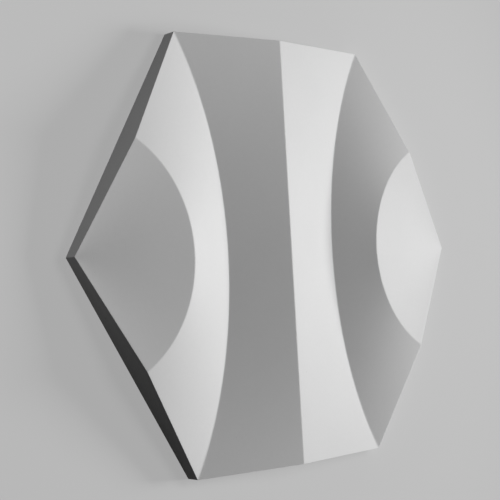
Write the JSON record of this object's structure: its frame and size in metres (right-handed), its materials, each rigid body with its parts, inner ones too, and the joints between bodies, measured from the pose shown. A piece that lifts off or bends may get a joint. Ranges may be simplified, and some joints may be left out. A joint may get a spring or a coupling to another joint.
{
  "type": "3d wall panel tile",
  "caption": "Hexagonal wall panel tile of cast plaster with a flat back and a relief face of curved crests and valleys; every side has the same gabled profile.",
  "frame": {"origin": "centre of the flat back face", "axes": "+Z out of the relief face, away from the wall; +X towards one of the two corners that a round crest circles; +Y along the straight crest. The tile lies on its back."},
  "size_m": [0.5, 0.433, 0.03],
  "materials": {
    "plaster": "matte"
  },
  "bodies": {
    "root": {"panel_tile": "plaster"}
  },
  "joints": []
}
